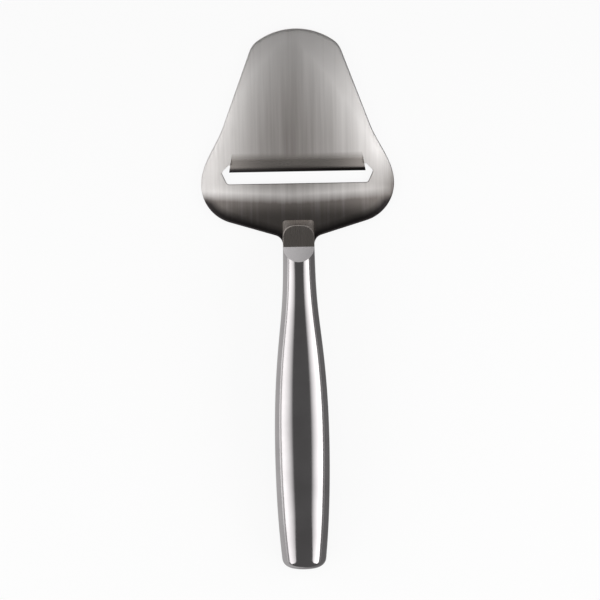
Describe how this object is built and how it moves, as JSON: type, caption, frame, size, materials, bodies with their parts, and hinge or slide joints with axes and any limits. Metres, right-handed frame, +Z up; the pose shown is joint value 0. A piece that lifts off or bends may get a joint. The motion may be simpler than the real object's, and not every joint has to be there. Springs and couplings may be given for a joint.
{
  "type": "cheese slicer",
  "caption": "Cheese slicer with a flared flat steel head, a bent-down cutting lip over a slot, a bevelled neck bar and an arched oval hollow steel handle.",
  "frame": {"origin": "on the surface that the slicer lies on, under the middle of its whole length and width; it lies on its cutting lip and on the end of its handle", "axes": "+Y from the handle towards the head's tip, +X across the head, +Z up, out of the head's flat top face"},
  "size_m": [0.0788, 0.22, 0.0222],
  "materials": {
    "brushed_blade": "stainless steel brushed lengthwise",
    "satin_neck": "stainless steel, satin",
    "polished_handle": "stainless steel, mirror polished",
    "filler_cement": "cast cement, hidden inside the handle"
  },
  "bodies": {
    "root": {"blade": "brushed_blade", "neck_bar": "satin_neck", "handle_upper_shell": "polished_handle", "handle_lower_shell": "polished_handle", "handle_filler": "filler_cement"}
  },
  "joints": []
}
